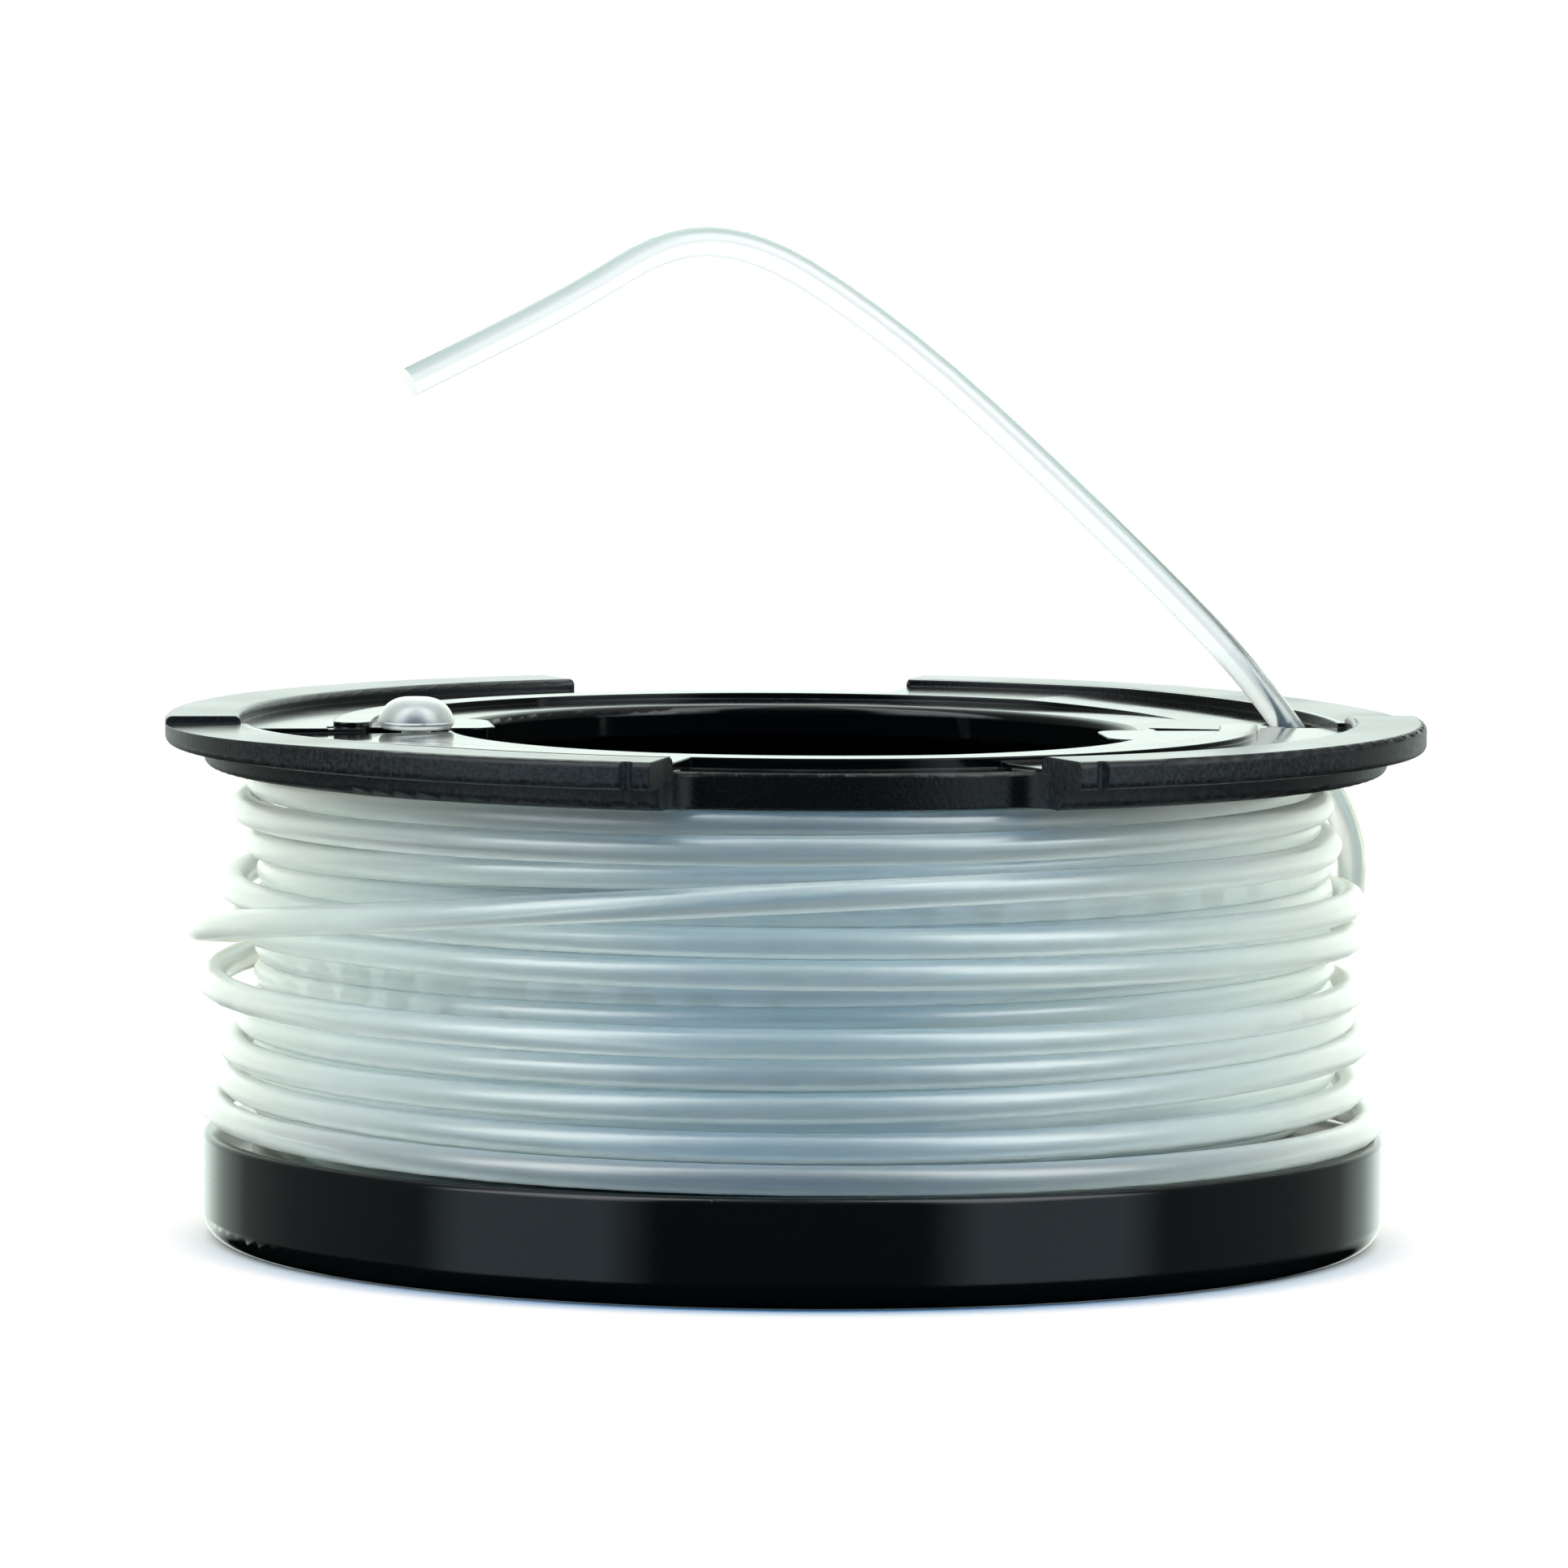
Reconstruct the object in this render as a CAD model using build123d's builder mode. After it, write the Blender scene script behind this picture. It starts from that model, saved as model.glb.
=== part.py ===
"""Trimmer line spool: a moulded spool body with one strand of cutting line wound on it."""

import os
from math import cos, pi, radians, sin, tan

from build123d import *

os.makedirs("parts", exist_ok=True)

# Cutting line and its winding
line_diameter = 1.65
line_radius = line_diameter / 2
turn_gap = 0.05
winding_gap = 0.2
winding_depth = 6.4
# How far each turn of the outer layer stands out from the winding's depth, lowest turn first
turn_stand = (0.8, 0.4, 0.0, -0.2, 0.0, 0.2, 0.2, 0.0, -0.4, -1.0, -1.5, -2.5)

# Spool body, radii, each from the drum's outside
drum_radius = 26.0
drum_wall = 2.8
socket_wall = 2.0
base_width = 7.4
base_wall = 1.8
flange_width = 7.4
rim_overhang = 2.2
rim_width = 4.2
rim_inset = 0.4
notch_setback = 1.0
ring_overhang = 0.1
ring_width = 2.1
ledge_width = 4.7
drum_inner = drum_radius - drum_wall
socket_radius = drum_radius - socket_wall
base_radius = drum_radius + base_width
flange_radius = drum_radius + flange_width
rim_radius = flange_radius + rim_overhang
rim_inner = rim_radius - rim_width
ramp_outer = rim_inner - rim_inset
notch_radius = rim_inner - notch_setback
ring_outer = drum_radius + ring_overhang
ring_inner = ring_outer - ring_width
bore_radius = ring_inner - ledge_width
winding_radius = drum_radius + winding_depth

# Spool body, heights from the base up
base_height = 6.1
base_plate = 2.0
turn_pitch = line_diameter + turn_gap
drum_length = turn_pitch * len(turn_stand) + winding_gap
flange_edge = 1.25
rim_height = 1.55
channel_depth = 0.7
ring_drop = 0.4
ledge_drop = 0.75
web_thickness = 1.75
flange_bottom = base_height + drum_length
rim_bottom = flange_bottom + flange_edge
rim_top = rim_bottom + rim_height
channel_floor = rim_top - channel_depth
ring_top = rim_top - ring_drop
ledge_top = rim_top - ledge_drop
web_bottom = ledge_top - web_thickness

# Rim notches, ramps and edge rounds
notch_half_angle = 18.9
notch_round = 2.0
notch_floor_drop = 1.03
notch_floor_rise = 0.2
floor_ramp_drop = 0.6
floor_ramp_angle = 50
rim_ramp_drop = 0.45
rim_ramp_angle = 45
base_round = 1.4
base_top_round = 0.4
flange_round = 0.5
rim_round = 0.4
rim_top_round = 0.35
notch_lip_round = 0.25
bore_round = 0.5
groove_radius = 0.35
groove_angle = 2.2
cut_margin = 1.0

# Line anchors, tongues, feed lugs and base ribs
anchor_width = 2.8
anchor_length = 4.0
anchor_bite = 0.4
window_height = 3.0
tongue_out = 2.4
tongue_start = 1.0
tongue_length = 7.0
tongue_root = 0.6
tongue_round = 1.5
lug_count = 4
lug_depth = 2.6
lug_width = 3.0
lug_height = 3.2
lug_lower = 3.4
lug_upper = 10.9
rib_count = 12
rib_width = 1.2
rib_drop = 1.0
rib_bite = 0.4
anchor_outer = ring_inner + anchor_bite
anchor_inner = anchor_outer - anchor_length
tongue_reach = bore_radius - tongue_out

# The line's anchored end, with its melted head
head_radius = 2.15
head_height = 1.8
head_lip = 0.45
head_flat = 0.6
head_inset = 1.1
head_y = 0.3
anchor_bend = 1.7
line_touch_gap = 0.05
head_x = -(anchor_inner + head_inset)

# Route of the free tail. Up the winding's back and through the flange: how far out from the drum,
# the angle, and the height above the flange's underside
tail_climb = [
    (7.7, 47.9, -15.9),
    (7.8, 36.7, -14.9),
    (7.9, 26.1, -13.2),
    (7.8, 17.0, -10.9),
    (7.8, 11.3, -8.1),
    (7.2, 9.2, -4.5),
    (5.6, 8.7, -1.4),
    (3.0, 9.7, 2.3),
]
# Then in the air to the cut end: across, back, and the height above the flange's underside
tail_air = [
    (26.0, 5.0, 5.6),
    (22.0, 5.2, 9.7),
    (14.9, 5.2, 16.5),
    (7.8, 5.2, 22.9),
    (1.2, 4.9, 27.6),
    (-2.3, 4.5, 29.2),
    (-5.4, 3.9, 29.6),
    (-8.3, 3.1, 28.8),
    (-11.6, 1.9, 26.8),
    (-16.5, 0.2, 24.3),
    (-21.7, -1.3, 21.8),
]
bend_share = 0.45
hole_clearance = 0.35

half_turn = 180
quarter_angle = 90 - notch_half_angle


def at_angle(radius, angle):
    """The point at a radius and an angle in degrees, seen from above."""
    return (radius * cos(radians(angle)), radius * sin(radians(angle)))


def turning_plane(angle):
    """The upright plane through the spool's axis at an angle: radius across, height up."""
    across = (*at_angle(1, angle), 0)
    facing = (*at_angle(1, angle - 90), 0)
    return Plane(origin=(0, 0, 0), x_dir=across, z_dir=facing)


def ramp_plane(height, hinge_angle, drop, radius):
    """The plane that falls by the drop, at the radius, from the hinge angle back to angle zero."""
    fall = drop / (radius * sin(radians(hinge_angle)))
    fall_x, fall_y = at_angle(fall, hinge_angle - 90)
    return Plane(origin=(0, 0, height), z_dir=(fall_x, fall_y, 1))


def bend_radii(points):
    """One bend radius for each inner corner of a route."""
    radii = []
    for before, here, after in zip(points, points[1:], points[2:]):
        arrive = Vector(here) - Vector(before)
        leave = Vector(after) - Vector(here)
        half_bend = radians(arrive.get_angle(leave)) / 2
        radii.append(bend_share * min(arrive.length, leave.length) / tan(half_bend))
    return radii


tail_route = [(*at_angle(drum_radius + out, angle), flange_bottom + rise) for out, angle, rise in tail_climb]
tail_route += [(across, back, flange_bottom + rise) for across, back, rise in tail_air]

# Cutters for the two ramped quarters: the channel floor and the rim's top
with BuildPart() as floor_ramp:
    with BuildSketch(turning_plane(0)):
        with BuildLine():
            Polyline(
                (bore_radius - cut_margin, web_bottom),
                (ramp_outer, web_bottom),
                (ramp_outer, rim_top + cut_margin),
                (bore_radius - cut_margin, rim_top + cut_margin),
                close=True,
            )
        make_face()
    revolve(axis=Axis.Z, revolution_arc=floor_ramp_angle)
    split(
        bisect_by=ramp_plane(ring_top, floor_ramp_angle, floor_ramp_drop, (ring_outer + rim_inner) / 2),
        keep=Keep.TOP,
    )

with BuildPart() as rim_ramp:
    with BuildSketch(turning_plane(0)):
        with BuildLine():
            Polyline(
                (ramp_outer, rim_bottom),
                (rim_radius + cut_margin, rim_bottom),
                (rim_radius + cut_margin, rim_top + cut_margin),
                (ramp_outer, rim_top + cut_margin),
                close=True,
            )
        make_face()
    revolve(axis=Axis.Z, revolution_arc=rim_ramp_angle)
    split(
        bisect_by=ramp_plane(rim_top, rim_ramp_angle, rim_ramp_drop, flange_radius),
        keep=Keep.TOP,
    )

# Cutter for the leaning line hole: it follows the tail's run through the flange
hole_start = Vector([point for point in tail_route if point[2] < flange_bottom][-1])
hole_end = Vector([point for point in tail_route if point[2] > flange_bottom][0])
with BuildPart(Plane(origin=(hole_start + hole_end) * 0.5, z_dir=hole_end - hole_start)) as line_hole:
    Cylinder(line_radius + hole_clearance, (hole_end - hole_start).length + 2 * cut_margin)

# Spool body: base flange, hollow drum, upper flange with its ring and rim, turned as one section
with BuildPart() as spool_body:
    with BuildSketch(turning_plane(0)) as section:
        with BuildLine():
            Polyline(
                (socket_radius, 0),
                (drum_radius, 0),
                (drum_radius, base_height - base_plate),
                (base_radius - base_wall, base_height - base_plate),
                (base_radius - base_wall, 0),
                (base_radius, 0),
                (base_radius, base_height),
                (drum_radius, base_height),
                (drum_radius, flange_bottom),
                (flange_radius, flange_bottom),
                (flange_radius, rim_bottom),
                (rim_radius, rim_bottom),
                (rim_radius, rim_top),
                (rim_inner, rim_top),
                (rim_inner, channel_floor),
                (ring_outer, channel_floor),
                (ring_outer, ring_top),
                (ring_inner, ring_top),
                (ring_inner, ledge_top),
                (bore_radius, ledge_top),
                (bore_radius, web_bottom),
                (drum_inner, web_bottom),
                (drum_inner, base_height),
                (socket_radius, base_height),
                close=True,
            )
        make_face()
        fillet(section.vertices().sort_by_distance((base_radius, 0))[0], base_round)
        fillet(section.vertices().sort_by_distance((base_radius, base_height))[0], base_top_round)
        fillet(section.vertices().sort_by_distance((flange_radius, flange_bottom))[0], flange_round)
        fillet(section.vertices().sort_by_distance((rim_radius, rim_bottom))[0], rim_round)
        fillet(section.vertices().sort_by_distance((rim_radius, rim_top))[0], rim_top_round)
        fillet(section.vertices().sort_by_distance((rim_inner, rim_top))[0], rim_top_round)
        fillet(section.vertices().sort_by_distance((bore_radius, ledge_top))[0], bore_round)
    revolve(axis=Axis.Z)

    # The two ramped quarters: raised to the ring's top, then cut down to the step
    for turn in (0, half_turn):
        with BuildSketch(turning_plane(turn)):
            with BuildLine():
                Polyline(
                    (ring_outer, channel_floor),
                    (rim_inner, channel_floor),
                    (rim_inner, rim_top),
                    (ramp_outer, rim_top),
                    (ramp_outer, ring_top),
                    (ring_outer, ring_top),
                    close=True,
                )
            make_face()
        revolve(axis=Axis.Z, revolution_arc=quarter_angle)
        add(floor_ramp.part.rotate(Axis.Z, turn), mode=Mode.SUBTRACT)
        add(rim_ramp.part.rotate(Axis.Z, turn), mode=Mode.SUBTRACT)

    # Rim notches, front and back, with their sloping floors
    for turn in (-90, 90):
        with BuildSketch(Plane.XY.offset(flange_bottom - cut_margin)) as notch:
            with BuildLine():
                inner_arc = CenterArc(
                    (0, 0), notch_radius, turn - notch_half_angle, 2 * notch_half_angle
                )
                outer_arc = CenterArc(
                    (0, 0), rim_radius + cut_margin, turn - notch_half_angle, 2 * notch_half_angle
                )
                Line(inner_arc @ 0, outer_arc @ 0)
                Line(inner_arc @ 1, outer_arc @ 1)
            make_face()
            fillet(notch.vertices().sort_by_distance((0, 0))[0:2], notch_round)
        extrude(amount=rim_top + cut_margin - flange_bottom + cut_margin, mode=Mode.SUBTRACT)
        with BuildSketch(turning_plane(turn - notch_half_angle)):
            with BuildLine():
                Polyline(
                    (ring_outer, rim_top - notch_floor_drop),
                    (rim_inner, rim_top - notch_floor_drop + notch_floor_rise),
                    (rim_inner, rim_top + cut_margin),
                    (ring_outer, rim_top + cut_margin),
                    close=True,
                )
            make_face()
        revolve(axis=Axis.Z, revolution_arc=2 * notch_half_angle, mode=Mode.SUBTRACT)
        with BuildSketch(turning_plane(turn - notch_half_angle)):
            with BuildLine():
                lip_level = rim_top - notch_floor_drop + notch_floor_rise
                Line((notch_radius, lip_level - notch_lip_round), (notch_radius + cut_margin, lip_level))
                Line((notch_radius + cut_margin, lip_level), (notch_radius - notch_lip_round, lip_level))
                RadiusArc(
                    (notch_radius - notch_lip_round, lip_level),
                    (notch_radius, lip_level - notch_lip_round),
                    notch_lip_round,
                )
            make_face()
        revolve(axis=Axis.Z, revolution_arc=2 * notch_half_angle, mode=Mode.SUBTRACT)

    # Upright grooves by the rim's ends
    with BuildSketch(Plane.XY.offset(rim_bottom)):
        for turn in (-90, 90):
            for side in (-1, 1):
                with Locations(at_angle(rim_radius, turn + side * (notch_half_angle + groove_angle))):
                    Circle(groove_radius)
    extrude(amount=rim_height, mode=Mode.SUBTRACT)

    # Anchor slots left and right: down through the ledge, out through the drum's wall
    for side in (-1, 1):
        with BuildSketch(Plane.XY.offset(flange_bottom - window_height)):
            with Locations((side * (anchor_inner + anchor_outer) / 2, 0)):
                Rectangle(anchor_length, anchor_width)
        extrude(amount=rim_top - flange_bottom + window_height, mode=Mode.SUBTRACT)
        with BuildSketch(Plane.XY.offset(flange_bottom - window_height)):
            with Locations((side * drum_radius, 0)):
                Rectangle(2 * drum_wall, anchor_width)
        extrude(amount=window_height, mode=Mode.SUBTRACT)
        with BuildSketch(Plane.XY.offset(ledge_top)):
            with Locations((side * (ring_inner + ring_outer) / 2, 0)):
                Rectangle(ring_width + 2 * anchor_bite, anchor_width)
        extrude(amount=ring_drop, mode=Mode.SUBTRACT)

        # The ring's rounded end beside the gap
        with BuildSketch(Plane.XY.offset(web_bottom)):
            with Locations((side * (ring_inner + ring_outer) / 2, -side * anchor_width / 2)):
                Circle(ring_width / 2)
        extrude(amount=ring_top - web_bottom)

    # Tongues that reach into the bore
    for side in (-1, 1):
        with BuildSketch(Plane.XY.offset(web_bottom)) as tongue:
            middle_x = side * (tongue_reach + bore_radius + tongue_root) / 2
            middle_y = -side * (tongue_start + tongue_length / 2)
            with Locations((middle_x, middle_y)):
                Rectangle(bore_radius + tongue_root - tongue_reach, tongue_length)
            fillet(tongue.vertices().filter_by(lambda corner: abs(corner.X) < bore_radius), tongue_round)
        extrude(amount=web_thickness)

    # Feed lugs inside the drum, two tiers set half a step apart
    for level, turn in ((lug_lower, 0), (lug_upper, half_turn / lug_count)):
        with BuildSketch(Plane.XY.offset(base_height + level)):
            with PolarLocations(drum_inner - lug_depth / 2 + rib_bite, lug_count, start_angle=turn):
                Rectangle(lug_depth + 2 * rib_bite, lug_width)
        extrude(amount=lug_height)

    # Ribs under the base flange
    with BuildSketch(Plane.XY.offset(rib_drop)):
        with PolarLocations((drum_radius + base_radius - base_wall) / 2, rib_count):
            Rectangle(base_radius - base_wall - drum_radius + 2 * rib_bite, rib_width)
    extrude(amount=base_height - base_plate - rib_drop)

    # Line holes through the upper flange
    for turn in (0, half_turn):
        add(line_hole.part.rotate(Axis.Z, turn), mode=Mode.SUBTRACT)

# Winding: the layers of line as one ring, its outside ridged turn by turn
with BuildPart() as line_winding:
    with BuildSketch(turning_plane(0)):
        with BuildLine():
            foot = (drum_radius, base_height)
            end = foot
            for index, stand in enumerate(turn_stand):
                centre = winding_radius + stand - line_radius
                height = base_height + turn_pitch * (index + 0.5)
                start = (centre, height - line_radius)
                Line(end, start)
                end = (centre, height + line_radius)
                ThreePointArc(start, (centre + line_radius, height), end)
            Line(end, (drum_radius, end[1]))
            Line((drum_radius, end[1]), foot)
        make_face()
    revolve(axis=Axis.Z)

# Free tail: out of the winding, up through the line hole and over to the cut end
tail_radii = bend_radii(tail_route)
with BuildPart() as line_tail:
    with BuildLine() as tail_path:
        FilletPolyline(*tail_route, radius=tail_radii)
    with BuildSketch(Plane(origin=tail_path.line @ 0, z_dir=tail_path.line % 0)):
        Circle(line_radius)
    sweep()
print("tail radii", [round(radius, 1) for radius in tail_radii])
print("tail volume", round(line_tail.part.volume, 2), "section by length",
      round(pi * line_radius**2 * tail_path.wires()[0].length, 2))

# Anchored end: a melted head on the ledge, its shank bent out through the drum's wall
shank_level = flange_bottom - window_height / 2
shank_foot = shank_level + anchor_bend
with BuildPart() as line_anchor:
    with BuildSketch(Plane(origin=(head_x, head_y, ledge_top), x_dir=(1, 0, 0), z_dir=(0, -1, 0))):
        with BuildLine():
            Polyline(
                (head_flat, head_height),
                (0, head_height),
                (0, shank_foot - ledge_top),
                (line_radius, shank_foot - ledge_top),
                (line_radius, 0),
                (head_radius - head_lip, 0),
            )
            RadiusArc((head_radius - head_lip, 0), (head_radius, head_lip), -head_lip)
            TangentArc((head_flat, head_height), (head_radius, head_lip), tangent=(1, 0))
        make_face()
    revolve(axis=Axis((head_x, head_y, 0), (0, 0, 1)))
    with BuildLine() as shank_path:
        shank_run = Line(
            (line_touch_gap - drum_radius, head_y, shank_level),
            (head_x - anchor_bend, head_y, shank_level),
        )
        TangentArc(shank_run @ 1, (head_x, head_y, shank_foot), tangent=shank_run % 1)
    with BuildSketch(Plane(origin=shank_run @ 0, z_dir=shank_run % 0)):
        Circle(line_radius)
    sweep()

spool_body.part.label = "spool_body"
export_step(spool_body.part, "parts/spool_body.step")
line_winding.part.label = "line_winding"
export_step(line_winding.part, "parts/line_winding.step")
line_tail.part.label = "line_tail"
export_step(line_tail.part, "parts/line_tail.step")
line_anchor.part.label = "line_anchor"
export_step(line_anchor.part, "parts/line_anchor.step")
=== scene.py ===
import math

import bpy
from mathutils import Matrix, Vector


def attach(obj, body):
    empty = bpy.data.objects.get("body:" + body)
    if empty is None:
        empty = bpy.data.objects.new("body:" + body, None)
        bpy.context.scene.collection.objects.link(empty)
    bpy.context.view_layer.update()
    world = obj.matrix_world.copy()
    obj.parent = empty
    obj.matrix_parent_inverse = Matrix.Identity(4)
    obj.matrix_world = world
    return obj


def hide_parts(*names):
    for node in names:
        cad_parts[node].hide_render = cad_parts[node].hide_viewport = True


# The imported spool, with its own box kept for the size test
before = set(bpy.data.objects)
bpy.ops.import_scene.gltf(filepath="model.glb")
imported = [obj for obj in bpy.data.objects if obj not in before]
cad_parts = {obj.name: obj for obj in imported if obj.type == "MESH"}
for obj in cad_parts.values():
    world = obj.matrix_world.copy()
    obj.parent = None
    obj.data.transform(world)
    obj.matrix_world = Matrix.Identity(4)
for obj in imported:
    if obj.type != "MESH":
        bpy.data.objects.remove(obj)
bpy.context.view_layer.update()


# Cutting line
# One strand of clear nylon monofilament, extruded round and a little milky. It is wound on the drum by
# machine in layers. Its first end is held in the flange, and its free end is led up through a line hole.
MM = 0.001
line_diameter = 1.65 * MM
points_per_turn = 16
# a control point stands outside the round curve that it pulls
pull = 1 / math.cos(math.pi / points_per_turn)
full_turn = 360.0
quarter = full_turn / 4
step = full_turn / points_per_turn
# the first layer starts at the left, below the line's melted end
start_angle = 180.0

# each inner layer's first and last radius, its first and last height in mm, and its number of turns
inner_layers = (
    (26.90, 26.90, 25.70, 7.00, 11.3),
    (28.40, 27.90, 7.00, 24.00, 10.1),
    (29.60, 29.95, 21.60, 7.00, 10.1175),
)
# each outer turn as it is wound, in mm: heights, then radii, at its right, front and left as the camera
# sees it, where the last turn crosses the others on its way down to the free stretch
outer_turns = (
    ((6.95, 6.95, 7.50), (32.7, 32.4, 32.7)),
    ((8.90, 8.60, 9.20), (31.6, 31.8, 31.9)),
    ((11.60, 10.70, 10.90), (31.9, 31.6, 31.7)),
    ((12.90, 12.50, 12.60), (30.9, 31.4, 30.9)),
    ((14.30, 14.20, 14.60), (31.4, 31.7, 33.0)),
    ((17.40, 17.90, 18.00), (31.4, 31.6, 31.4)),
    ((19.40, 19.60, 20.00), (31.4, 31.5, 31.8)),
    ((23.60, 23.20, 22.35), (28.9, 29.9, 30.4)),
    ((24.80, 24.50, 24.30), (29.6, 30.9, 31.1)),
    ((25.75, 25.75, 25.70), (28.3, 29.8, 30.2)),
    ((22.60, 22.20, 17.30), (30.0, 32.7, 33.6)),
)
# behind the spool, in mm: the radius of the turns, then the height and radius of the last one
back_radius = 31.5
last_back_height = 12.4
last_back_radius = 33.4
# the free stretch, from the last turn up through the line hole and over the spool, in mm
tail_route = (
    (22.6, 25.0, 10.8), (27.1, 20.2, 11.8), (30.4, 14.9, 13.5), (32.3, 9.9, 15.8),
    (33.1, 6.6, 18.6), (32.8, 5.3, 22.2), (31.2, 4.8, 25.3), (28.6, 4.9, 29.0),
    (26.0, 5.0, 32.3), (22.0, 5.2, 36.4), (14.9, 5.2, 43.2), (7.8, 5.2, 49.6),
    (1.2, 4.9, 54.3), (-2.3, 4.5, 55.9), (-5.4, 3.9, 56.3), (-8.3, 3.1, 55.5),
    (-11.6, 1.9, 53.5), (-16.5, 0.2, 51.0), (-22.2, -1.4, 48.3),
)


def coil_point(angle, radius, height):
    """A control point of a turn, from degrees and mm."""
    turn = math.radians(angle)
    return Vector((radius * pull * math.cos(turn), radius * pull * math.sin(turn), height)) * MM


def through(values, place):
    """A smooth value at a place along evenly spaced values."""
    index = min(int(place), len(values) - 2)
    t = place - index
    before = values[max(index - 1, 0)]
    here, after = values[index], values[index + 1]
    beyond = values[min(index + 2, len(values) - 1)]
    slope_here, slope_after = (after - before) / 2, (beyond - here) / 2
    return (
        (2 * t**3 - 3 * t**2 + 1) * here + (t**3 - 2 * t**2 + t) * slope_here
        + (3 * t**2 - 2 * t**3) * after + (t**3 - t**2) * slope_after
    )


line_points = []
angle = start_angle
for first_radius, last_radius, first, last, turns in inner_layers:
    begin = angle
    while begin - angle < turns * full_turn - step / 2:
        share = (begin - angle) / (turns * full_turn)
        radius = first_radius + (last_radius - first_radius) * share
        line_points.append(coil_point(angle, radius, first + (last - first) * share))
        angle -= step
    angle = begin - turns * full_turn

heights, radii = [], []
for index, (turn_heights, turn_radii) in enumerate(outer_turns):
    heights.extend(turn_heights)
    radii.extend(turn_radii)
    if index + 1 < len(outer_turns):
        next_right = outer_turns[index + 1][0][0]
        heights.append((turn_heights[2] + next_right) / 2)
        radii.append(back_radius)
heights.append(last_back_height)
radii.append(last_back_radius)
outer_points = int((len(heights) - 1) * quarter / step) + 1
for count in range(outer_points):
    along = count * step / quarter
    line_points.append(coil_point(angle - count * step, through(radii, along), through(heights, along)))
line_points.extend(Vector(point) * MM for point in tail_route)

line_curve = bpy.data.curves.new("cutting_line", "CURVE")
line_curve.dimensions = "3D"
strand = line_curve.splines.new("NURBS")
strand.points.add(len(line_points) - 1)
for control, point in zip(strand.points, line_points):
    control.co = (*point, 1.0)
strand.order_u = 3
strand.use_endpoint_u = True
strand.resolution_u = 3
line_curve.bevel_depth = line_diameter / 2
line_curve.bevel_resolution = 8
line_curve.use_fill_caps = True
cutting_line = bpy.data.objects.new("cutting_line", line_curve)
bpy.context.collection.objects.link(cutting_line)


def hex_color(code):
    """An sRGB hex colour as linear red, green, blue and alpha."""
    parts = [int(code[at:at + 2], 16) / 255 for at in (1, 3, 5)]
    return [c / 12.92 if c <= 0.04045 else ((c + 0.055) / 1.055) ** 2.4 for c in parts] + [1.0]


def add_node(tree, kind, settings=None, links=None, **values):
    """Adds a node, sets its properties and inputs, and links other sockets into it."""
    node = tree.nodes.new(kind)
    for name, value in (settings or {}).items():
        setattr(node, name, value)
    for name, value in values.items():
        node.inputs[name.replace("_", " ")].default_value = value
    for name, socket in (links or {}).items():
        tree.links.new(socket, node.inputs[name])
    return node


def new_material(name):
    """An empty node material, and its node tree."""
    material = bpy.data.materials.new(name)
    material.use_nodes = True
    material.node_tree.nodes.clear()
    return material, material.node_tree


# Extruded nylon monofilament: a clear strand with a milky body, which passes part of the light straight
# through, most where it is seen head-on, and spreads the rest for a few millimetres
line_nylon, tree = new_material("nylon_monofilament")
nylon_ior = 1.53
place = add_node(tree, "ShaderNodeTexCoord")
haze = add_node(tree, "ShaderNodeTexNoise", links={"Vector": place.outputs["Object"]},
                Scale=1 / (6 * MM), Detail=3.0, Roughness=0.5)
haze_color = add_node(tree, "ShaderNodeValToRGB", links={"Fac": haze.outputs["Fac"]})
haze_color.color_ramp.elements[0].position = 0.35
haze_color.color_ramp.elements[0].color = hex_color("#e8ede2")
haze_color.color_ramp.elements[1].position = 0.65
haze_color.color_ramp.elements[1].color = hex_color("#f3f5ec")
draw_marks = add_node(tree, "ShaderNodeTexNoise", links={"Vector": place.outputs["Object"]},
                      Scale=1 / (0.5 * MM), Detail=2.0)
gloss = add_node(tree, "ShaderNodeMapRange", links={"Value": draw_marks.outputs["Fac"]},
                 From_Min=0.3, From_Max=0.7, To_Min=0.28, To_Max=0.36)
milky = add_node(tree, "ShaderNodeBsdfPrincipled",
                 links={"Base Color": haze_color.outputs["Color"], "Roughness": gloss.outputs["Result"]},
                 IOR=nylon_ior, Subsurface_Weight=1.0)
milky.inputs["Subsurface Radius"].default_value = (1.0, 1.0, 1.0)
milky.inputs["Subsurface Scale"].default_value = 1.5 * MM
glassy = add_node(tree, "ShaderNodeBsdfGlass", Roughness=0.15, IOR=nylon_ior)
glassy.inputs["Color"].default_value = hex_color("#fcfdfa")
side = add_node(tree, "ShaderNodeNewGeometry")
slant = add_node(tree, "ShaderNodeLayerWeight", Blend=0.5)
front_share = add_node(tree, "ShaderNodeMapRange", links={"Value": slant.outputs["Facing"]},
                       From_Min=0.2, From_Max=0.8, To_Min=0.76, To_Max=0.3)
# the free stretch over the spool has no layers behind it, so more light passes through and out again
where = add_node(tree, "ShaderNodeSeparateXYZ", links={"Vector": place.outputs["Object"]})
alone = add_node(tree, "ShaderNodeMapRange", links={"Value": where.outputs["Z"]},
                 From_Min=30.0 * MM, From_Max=33.0 * MM)
free_share = add_node(tree, "ShaderNodeMapRange", links={"Value": alone.outputs["Result"]}, To_Max=0.85)
way_out = add_node(tree, "ShaderNodeMath", {"operation": "MULTIPLY"},
                   {0: side.outputs["Backfacing"], 1: alone.outputs["Result"]})
single = add_node(tree, "ShaderNodeMath", {"operation": "MAXIMUM"},
                  {0: side.outputs["Backfacing"], 1: free_share.outputs["Result"]})
clear_share = add_node(tree, "ShaderNodeMath", {"operation": "MAXIMUM"},
                       {0: single.outputs["Value"], 1: front_share.outputs["Result"]})
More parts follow.
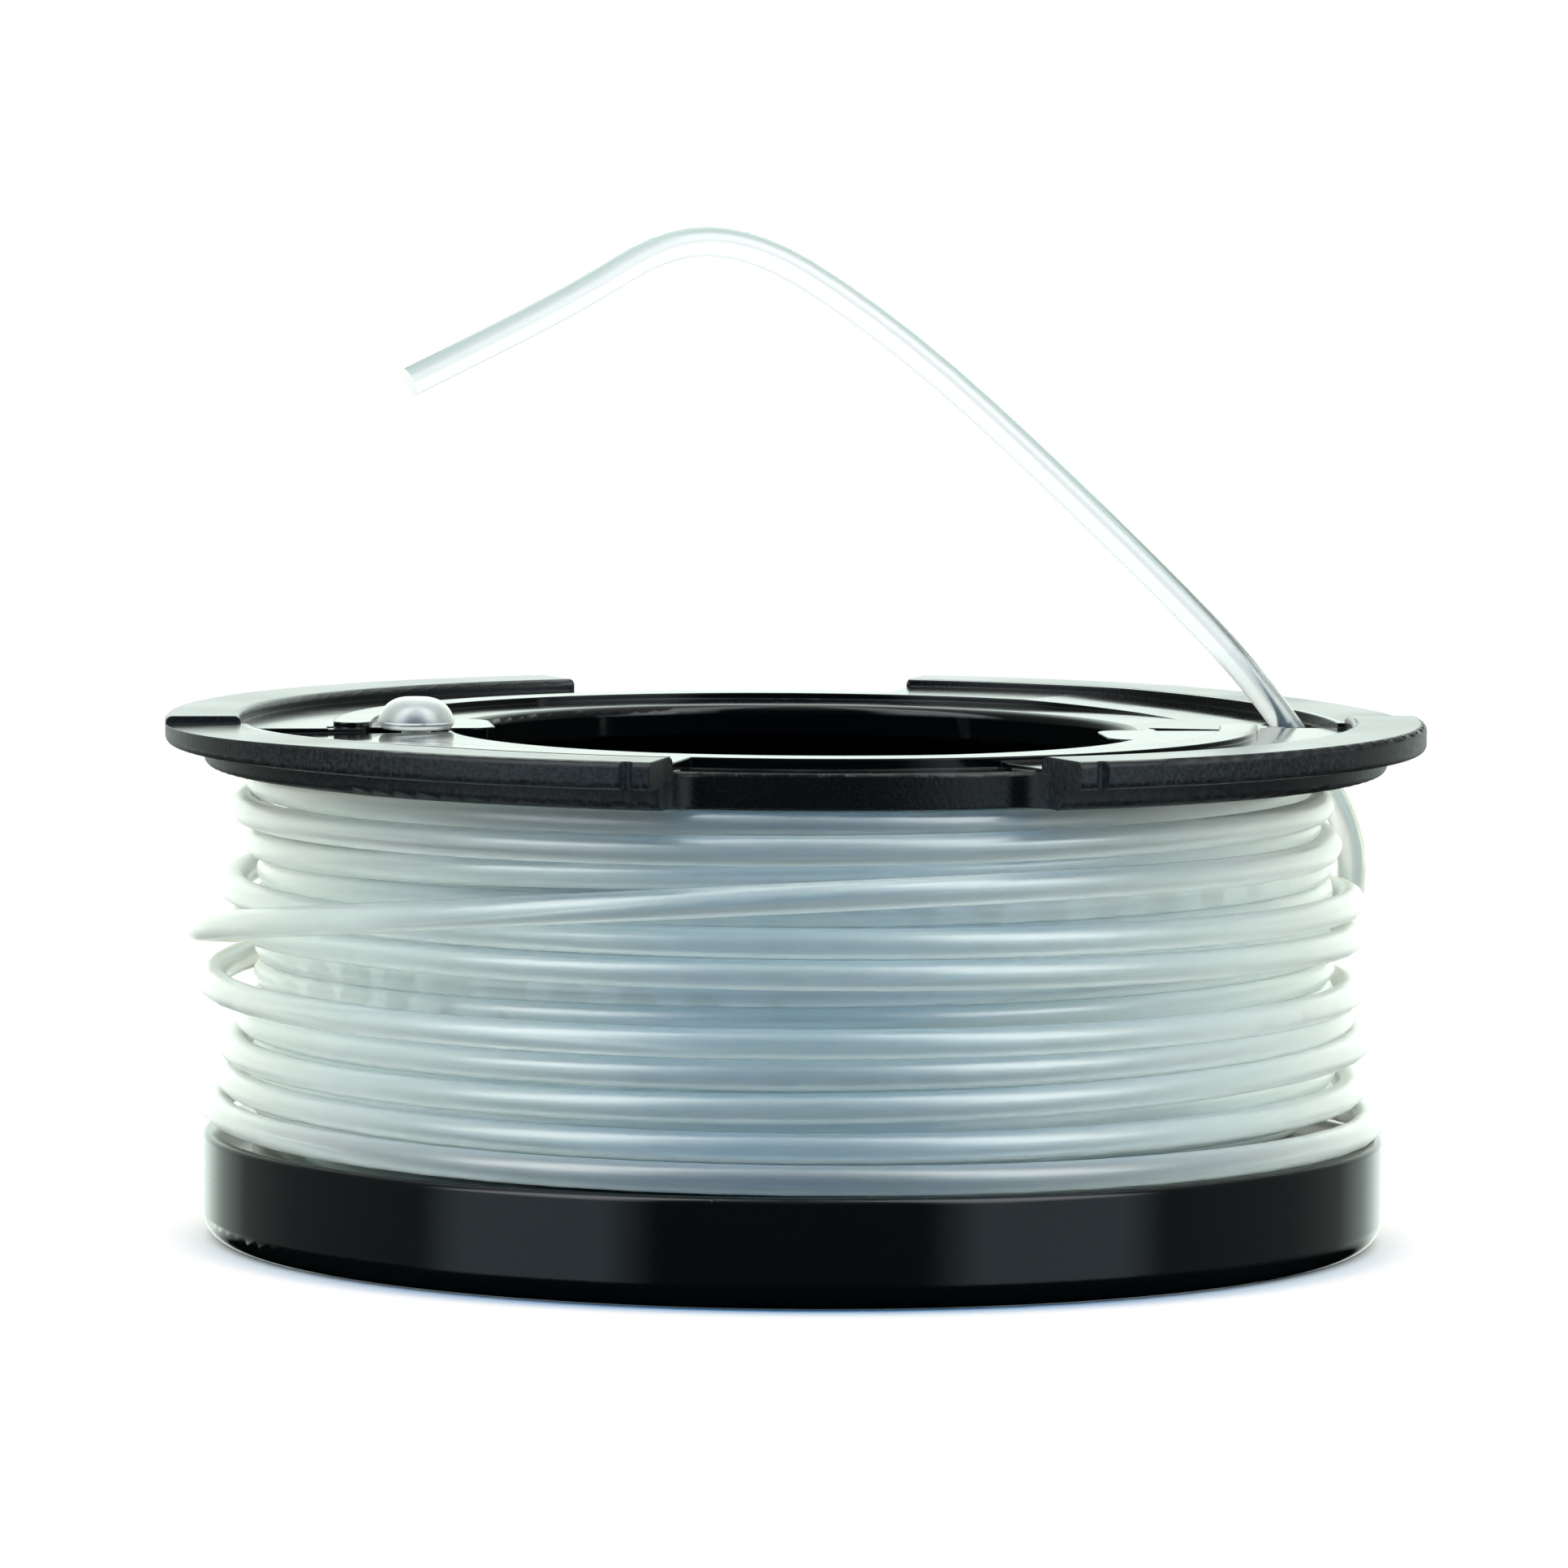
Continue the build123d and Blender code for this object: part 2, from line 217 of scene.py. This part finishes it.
body = add_node(tree, "ShaderNodeMixShader", links={0: clear_share.outputs["Value"],
                                                    1: milky.outputs["BSDF"], 2: glassy.outputs["BSDF"]})
# the surfaces of the layers below mirror as well, which this sheen stands for
sheen = add_node(tree, "ShaderNodeBsdfGlossy", Roughness=0.38)
sheen.inputs["Color"].default_value = hex_color("#f8faf4")
sheen_share = add_node(tree, "ShaderNodeMapRange", links={"Value": single.outputs["Value"]},
                       To_Min=0.2, To_Max=0.0)
sheened = add_node(tree, "ShaderNodeMixShader", links={0: sheen_share.outputs["Result"],
                                                       1: body.outputs["Shader"], 2: sheen.outputs["BSDF"]})
# shadow and diffuse rays go straight through, and so do rays that leave the free stretch from inside
passing = add_node(tree, "ShaderNodeBsdfTransparent")
passing.inputs["Color"].default_value = hex_color("#f4f8f8")
ray = add_node(tree, "ShaderNodeLightPath")
light = add_node(tree, "ShaderNodeMath", {"operation": "MAXIMUM"},
                 {0: ray.outputs["Is Shadow Ray"], 1: ray.outputs["Is Diffuse Ray"]})
straight = add_node(tree, "ShaderNodeMath", {"operation": "MAXIMUM"},
                    {0: light.outputs["Value"], 1: way_out.outputs["Value"]})
nylon = add_node(tree, "ShaderNodeMixShader",
                 links={0: straight.outputs["Value"], 1: sheened.outputs["Shader"],
                        2: passing.outputs["BSDF"]})
add_node(tree, "ShaderNodeOutputMaterial", links={"Surface": nylon.outputs["Shader"]})
line_curve.materials.append(line_nylon)

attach(cutting_line, "root")
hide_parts("line_winding", "line_tail")


# Melted end of the line
# The same nylon, melted to a small domed head that cannot pull back through its slot in the flange. It
# keeps the mesh of the solid.
for slot in bpy.data.objects["line_anchor"].material_slots:
    slot.material = line_nylon


# Spool body
# One injection moulding in black ABS. Its faces are polished in the mould, and the outer walls of the rim
# and its notches are spark eroded, which leaves a fine satin grain.
# Black ABS as it leaves the mould: a deep gloss on the polished faces, and a softer, greyer one where the
# mould was eroded
spool_abs, tree = new_material("black_moulded_abs")
rim_roughening = 0.1
base_top = 6.2 * MM
across_parting = (-0.9716, 0.2368, 0.0)
place = add_node(tree, "ShaderNodeTexCoord")
where = add_node(tree, "ShaderNodeSeparateXYZ", links={"Vector": place.outputs["Object"]})
facing = add_node(tree, "ShaderNodeSeparateXYZ", links={"Vector": place.outputs["Normal"]})
flat = add_node(tree, "ShaderNodeVectorMath", {"operation": "MULTIPLY"}, {0: place.outputs["Object"]})
flat.inputs[1].default_value = (1.0, 1.0, 0.0)
reach = add_node(tree, "ShaderNodeVectorMath", {"operation": "LENGTH"}, {0: flat.outputs["Vector"]})
on_flange = add_node(tree, "ShaderNodeMapRange", links={"Value": where.outputs["Z"]},
                     From_Min=25.9 * MM, From_Max=26.3 * MM)
past_rim = add_node(tree, "ShaderNodeMapRange", links={"Value": reach.outputs["Value"]},
                    From_Min=31.3 * MM, From_Max=31.5 * MM)
past_notch = add_node(tree, "ShaderNodeMapRange", links={"Value": reach.outputs["Value"]},
                      From_Min=30.0 * MM, From_Max=30.3 * MM)
upright = add_node(tree, "ShaderNodeMapRange", links={"Value": facing.outputs["Z"]},
                   From_Min=0.75, From_Max=0.45)
outer_wall = add_node(tree, "ShaderNodeMath", {"operation": "MULTIPLY"},
                      {0: past_notch.outputs["Result"], 1: upright.outputs["Result"]})
eroded = add_node(tree, "ShaderNodeMath", {"operation": "MULTIPLY"},
                  {0: outer_wall.outputs["Value"], 1: on_flange.outputs["Result"]})
rim_face = add_node(tree, "ShaderNodeMath", {"operation": "MULTIPLY"},
                    {0: past_rim.outputs["Result"], 1: on_flange.outputs["Result"]})
grain = add_node(tree, "ShaderNodeTexNoise", links={"Vector": place.outputs["Object"]},
                 Scale=1 / (0.22 * MM), Detail=3.0, Roughness=0.6)
swirl = add_node(tree, "ShaderNodeTexNoise", links={"Vector": place.outputs["Object"]},
                 Scale=1 / (9 * MM), Detail=3.0, Roughness=0.55)
turning = add_node(tree, "ShaderNodeTexNoise", {"noise_dimensions": "1D"}, {"W": where.outputs["Z"]},
                   Scale=1 / (0.25 * MM), Detail=2.0)
marks = add_node(tree, "ShaderNodeMath", {"operation": "MULTIPLY"},
                 {0: swirl.outputs["Fac"], 1: turning.outputs["Fac"]})
polish = add_node(tree, "ShaderNodeMapRange", links={"Value": marks.outputs["Value"]},
                  From_Min=0.15, From_Max=0.4, To_Min=0.05, To_Max=0.13)
satin = add_node(tree, "ShaderNodeMapRange", links={"Value": grain.outputs["Fac"]},
                 From_Min=0.3, From_Max=0.7, To_Min=0.34, To_Max=0.5)
rim_polish = add_node(tree, "ShaderNodeMath", {"operation": "MULTIPLY_ADD"},
                      {0: rim_face.outputs["Value"], 2: polish.outputs["Result"]})
rim_polish.inputs[1].default_value = rim_roughening
# the notches lie deeper than the rim and are eroded more finely
coarse = add_node(tree, "ShaderNodeMapRange", links={"Value": past_rim.outputs["Result"]},
                  To_Min=0.6, To_Max=1.0)
wall_satin = add_node(tree, "ShaderNodeMath", {"operation": "MULTIPLY"},
                      {0: satin.outputs["Result"], 1: coarse.outputs["Result"]})
finish = add_node(tree, "ShaderNodeMix", {"data_type": "FLOAT"},
                  {"Factor": eroded.outputs["Value"], "A": rim_polish.outputs["Value"],
                   "B": wall_satin.outputs["Value"]})
dark = add_node(tree, "ShaderNodeValToRGB", links={"Fac": grain.outputs["Fac"]})
dark.color_ramp.elements[0].position = 0.4
dark.color_ramp.elements[0].color = hex_color("#0d0f10")
dark.color_ramp.elements[1].position = 0.66
dark.color_ramp.elements[1].color = hex_color("#23282a")
rim_wall = add_node(tree, "ShaderNodeMath", {"operation": "MULTIPLY"},
                    {0: eroded.outputs["Value"], 1: past_rim.outputs["Result"]})
tint = add_node(tree, "ShaderNodeMix", {"data_type": "RGBA"},
                {"Factor": rim_wall.outputs["Value"], "B": dark.outputs["Color"]})
tint.inputs["A"].default_value = hex_color("#080a0a")
pits = add_node(tree, "ShaderNodeMath", {"operation": "MULTIPLY"},
                {0: eroded.outputs["Value"], 1: grain.outputs["Fac"]})
# the base shows a fine raised line where the two side cores of the mould met
across = add_node(tree, "ShaderNodeVectorMath", {"operation": "DOT_PRODUCT"}, {0: place.outputs["Object"]})
across.inputs[1].default_value = across_parting
off_line = add_node(tree, "ShaderNodeMath", {"operation": "ABSOLUTE"}, {0: across.outputs["Value"]})
flash = add_node(tree, "ShaderNodeMapRange", links={"Value": off_line.outputs["Value"]},
                 From_Min=0.02 * MM, From_Max=0.1 * MM, To_Min=0.3, To_Max=0.0)
on_base = add_node(tree, "ShaderNodeMath", {"operation": "LESS_THAN"}, {0: where.outputs["Z"]})
on_base.inputs[1].default_value = base_top
seam = add_node(tree, "ShaderNodeMath", {"operation": "MULTIPLY"},
                {0: flash.outputs["Result"], 1: on_base.outputs["Value"]})
height = add_node(tree, "ShaderNodeMath", {"operation": "ADD"},
                  {0: pits.outputs["Value"], 1: seam.outputs["Value"]})
soft_edge = add_node(tree, "ShaderNodeBevel", {"samples": 4}, Radius=0.15 * MM)
relief = add_node(tree, "ShaderNodeBump",
                  links={"Height": height.outputs["Value"], "Normal": soft_edge.outputs["Normal"]},
                  Strength=0.35, Distance=0.06 * MM)
abs_plastic = add_node(tree, "ShaderNodeBsdfPrincipled",
                       links={"Base Color": tint.outputs["Result"], "Roughness": finish.outputs["Result"],
                              "Normal": relief.outputs["Normal"]}, IOR=1.54)
add_node(tree, "ShaderNodeOutputMaterial", links={"Surface": abs_plastic.outputs["BSDF"]})
for slot in bpy.data.objects["spool_body"].material_slots:
    slot.material = spool_abs


# Table top
# A plain white board under the spool, wide enough to run out of view. It shows the spool's shadow close
# under the base, and beyond that it is seen as pure white.
table_mesh = bpy.data.meshes.new("table_top")
half_table = 3.0
shadow_edge = 33.4 * MM
white_edge = 36.0 * MM
dimmest = 80.0 * MM
undimmed = 300.0 * MM
table_mesh.from_pydata(
    [(-half_table, -half_table, 0), (half_table, -half_table, 0),
     (half_table, half_table, 0), (-half_table, half_table, 0)], [], [(0, 1, 2, 3)])
table_top = bpy.data.objects.new("table_top", table_mesh)
bpy.context.collection.objects.link(table_top)
white_board, tree = new_material("white_board")
place = add_node(tree, "ShaderNodeTexCoord")
away = add_node(tree, "ShaderNodeVectorMath", {"operation": "LENGTH"}, {0: place.outputs["Object"]})
clear = add_node(tree, "ShaderNodeMapRange", {"interpolation_type": "SMOOTHSTEP"},
                 {"Value": away.outputs["Value"]}, From_Min=shadow_edge, From_Max=white_edge)
ray = add_node(tree, "ShaderNodeLightPath")
straight = add_node(tree, "ShaderNodeMath", {"operation": "MAXIMUM"},
                    {0: ray.outputs["Is Camera Ray"], 1: ray.outputs["Is Transmission Ray"]})
lit = add_node(tree, "ShaderNodeMath", {"operation": "MULTIPLY"},
               {0: straight.outputs["Value"], 1: clear.outputs["Result"]})
board = add_node(tree, "ShaderNodeBsdfDiffuse")
board.inputs["Color"].default_value = hex_color("#fdfdfd")
# painted shade: seen through the line, the board is painted dimmer and blue-green close to the spool
close = add_node(tree, "ShaderNodeMapRange", links={"Value": away.outputs["Value"]},
                 From_Min=undimmed, From_Max=dimmest)
painted_dim = add_node(tree, "ShaderNodeMath", {"operation": "MULTIPLY"},
               {0: close.outputs["Result"], 1: ray.outputs["Is Transmission Ray"]})
shade = add_node(tree, "ShaderNodeMix", {"data_type": "RGBA"}, {"Factor": painted_dim.outputs["Value"]})
shade.inputs["A"].default_value = hex_color("#ffffff")
shade.inputs["B"].default_value = hex_color("#9ab6b6")
bright = add_node(tree, "ShaderNodeEmission", links={"Color": shade.outputs["Result"]}, Strength=1.0)
blend = add_node(tree, "ShaderNodeMixShader", links={0: lit.outputs["Value"], 1: board.outputs["BSDF"],
                                                     2: bright.outputs["Emission"]})
unseen = add_node(tree, "ShaderNodeBsdfTransparent")
# mirrored rays pass the board by, and a ray through the line, which counts as glossy too, does not
mirror = add_node(tree, "ShaderNodeMath", {"operation": "GREATER_THAN"},
                  {0: ray.outputs["Is Glossy Ray"], 1: ray.outputs["Is Transmission Ray"]})
surface = add_node(tree, "ShaderNodeMixShader",
                   links={0: mirror.outputs["Value"], 1: blend.outputs["Shader"],
                          2: unseen.outputs["BSDF"]})
add_node(tree, "ShaderNodeOutputMaterial", links={"Surface": surface.outputs["Shader"]})
table_mesh.materials.append(white_board)


# Studio
# Warm white walls behind and at the sides light the spool, and the room in front is a strong blue. What
# the gloss mirrors is darker: two pale screens beside the camera, a light above and a white wall behind.
world = bpy.data.worlds.new("studio")
bpy.context.scene.world = world
world.use_nodes = True
tree = world.node_tree
tree.nodes.clear()
look = add_node(tree, "ShaderNodeTexCoord")
height = add_node(tree, "ShaderNodeSeparateXYZ", links={"Vector": look.outputs["Generated"]})
level = add_node(tree, "ShaderNodeVectorMath", {"operation": "MULTIPLY"}, {0: look.outputs["Generated"]})
level.inputs[1].default_value = (1.0, 1.0, 0.0)
bearing = add_node(tree, "ShaderNodeVectorMath", {"operation": "NORMALIZE"}, {0: level.outputs["Vector"]})
# -1 towards the camera, which stands a little to the left, and 1 straight behind the spool
straight_back = (0.111, 0.994, 0.0)
behind = add_node(tree, "ShaderNodeVectorMath", {"operation": "DOT_PRODUCT"}, {0: bearing.outputs["Vector"]})
behind.inputs[1].default_value = straight_back
depth = add_node(tree, "ShaderNodeMapRange", links={"Value": behind.outputs["Value"]},
                 From_Min=-1.0, From_Max=1.0)
room = add_node(tree, "ShaderNodeValToRGB", links={"Fac": depth.outputs["Result"]})
walls = room.color_ramp.elements
walls[0].position = 0.04
walls[0].color = (0.0, 0.15, 0.46, 1.0)
walls[1].position = 0.46
walls[1].color = (1.0, 0.96, 0.78, 1.0)
for position, color in ((0.14, (0.0, 0.14, 0.34, 1.0)), (0.24, (0.0, 0.12, 0.22, 1.0)),
                        (0.34, (0.82, 0.92, 0.80, 1.0))):
    walls.new(position).color = color
# the walls end above the spool, so less light comes from there
ceiling = add_node(tree, "ShaderNodeMapRange", links={"Value": height.outputs["Z"]},
                   From_Min=0.3, From_Max=0.9, To_Min=1.0, To_Max=0.75)
soft_room = add_node(tree, "ShaderNodeVectorMath", {"operation": "MULTIPLY"},
                     {0: room.outputs["Color"], 1: ceiling.outputs["Result"]})
# what shows through the line, where the dark room in front is narrower
refracted = add_node(tree, "ShaderNodeValToRGB", links={"Fac": depth.outputs["Result"]})
glimpses = refracted.color_ramp.elements
glimpses[0].position = 0.02
glimpses[0].color = (0.0, 0.04, 0.12, 1.0)
glimpses[1].position = 0.30
glimpses[1].color = (0.44, 0.46, 0.45, 1.0)
for position, color in ((0.08, (0.02, 0.08, 0.15, 1.0)), (0.16, (0.40, 0.43, 0.42, 1.0))):
    glimpses.new(position).color = color
mirrored = add_node(tree, "ShaderNodeValToRGB", links={"Fac": depth.outputs["Result"]})
screens = mirrored.color_ramp.elements
screens[0].position = 0.05
screens[0].color = (0.008, 0.01, 0.01, 1.0)
screens[1].position = 0.97
screens[1].color = (0.44, 0.50, 0.47, 1.0)
for position, color in ((0.10, (0.165, 0.20, 0.222, 1.0)), (0.30, (0.165, 0.20, 0.222, 1.0)),
                        (0.38, (0.03, 0.035, 0.035, 1.0)), (0.70, (0.04, 0.046, 0.045, 1.0)),
                        (0.84, (0.07, 0.08, 0.077, 1.0)), (0.92, (0.21, 0.25, 0.23, 1.0))):
    screens.new(position).color = color
# the screens are brightest above the spool, where only its rounded edges and the line mirror them
from_middle = add_node(tree, "ShaderNodeMapRange", links={"Value": behind.outputs["Value"]},
                       From_Min=-0.9, From_Max=-0.75)
to_side = add_node(tree, "ShaderNodeMapRange", links={"Value": behind.outputs["Value"]},
                   From_Min=-0.2, From_Max=-0.35)
raised = add_node(tree, "ShaderNodeMapRange", links={"Value": height.outputs["Z"]},
                  From_Min=0.12, From_Max=0.4, To_Max=0.7)
width = add_node(tree, "ShaderNodeMath", {"operation": "MULTIPLY"},
                 {0: from_middle.outputs["Result"], 1: to_side.outputs["Result"]})
glow = add_node(tree, "ShaderNodeMath", {"operation": "MULTIPLY"},
                {0: width.outputs["Value"], 1: raised.outputs["Result"]})
overhead = add_node(tree, "ShaderNodeMapRange", links={"Value": height.outputs["Z"]},
                    From_Min=0.55, From_Max=0.85, To_Max=0.1)
lamps = add_node(tree, "ShaderNodeMath", {"operation": "ADD"},
                 {0: glow.outputs["Value"], 1: overhead.outputs["Result"]})
gloss_room = add_node(tree, "ShaderNodeVectorMath", {"operation": "ADD"},
                      {0: mirrored.outputs["Color"], 1: lamps.outputs["Value"]})
# mirrored rays that go low find only dark, which stands for the spool's own shadow on the board
under = add_node(tree, "ShaderNodeMapRange", links={"Value": height.outputs["Z"]},
                 From_Min=-0.3, From_Max=-0.18)
mirror_view = add_node(tree, "ShaderNodeVectorMath", {"operation": "MULTIPLY"},
                       {0: gloss_room.outputs["Vector"], 1: under.outputs["Result"]})
ray = add_node(tree, "ShaderNodeLightPath")
mirror = add_node(tree, "ShaderNodeMath", {"operation": "GREATER_THAN"},
                  {0: ray.outputs["Is Glossy Ray"], 1: ray.outputs["Is Transmission Ray"]})
by_gloss = add_node(tree, "ShaderNodeMix", {"data_type": "RGBA"},
                    {"Factor": mirror.outputs["Value"], "A": soft_room.outputs["Vector"],
                     "B": mirror_view.outputs["Vector"]})
by_glass = add_node(tree, "ShaderNodeMix", {"data_type": "RGBA"},
                    {"Factor": ray.outputs["Is Transmission Ray"], "A": by_gloss.outputs["Result"],
                     "B": refracted.outputs["Color"]})
seen = add_node(tree, "ShaderNodeMix", {"data_type": "RGBA"},
                {"Factor": ray.outputs["Is Camera Ray"], "A": by_glass.outputs["Result"]})
seen.inputs["B"].default_value = hex_color("#ffffff")
# all but the camera's white is written at a third of its strength
power = add_node(tree, "ShaderNodeMapRange", links={"Value": ray.outputs["Is Camera Ray"]},
                 To_Min=3.0, To_Max=1.0)
sky = add_node(tree, "ShaderNodeBackground",
               links={"Color": seen.outputs["Result"], "Strength": power.outputs["Result"]})
add_node(tree, "ShaderNodeOutputWorld", links={"Surface": sky.outputs["Background"]})


# Camera
# Set where the photograph was taken from, a little above the spool, with a long lens. It is turned to
# the spool, tipped down and rolled a little, as the edges in the photograph ask.
camera_data = bpy.data.cameras.new("camera")
camera_data.sensor_width = 36.0
camera_data.lens = 225.32
camera_data.clip_end = 20.0
camera = bpy.data.objects.new("camera", camera_data)
bpy.context.collection.objects.link(camera)
camera_at = Vector((-61.57, -550.01, 69.98)) * MM
heading = math.radians(-6.3196)
tilt = math.radians(90 - 4.5814)
roll = math.radians(0.4487)
camera.matrix_world = (
    Matrix.Translation(camera_at)
    @ Matrix.Rotation(heading, 4, "Z")
    @ Matrix.Rotation(tilt, 4, "X")
    @ Matrix.Rotation(roll, 4, "Z")
)
bpy.context.scene.camera = camera
bpy.context.scene.view_settings.view_transform = "Standard"
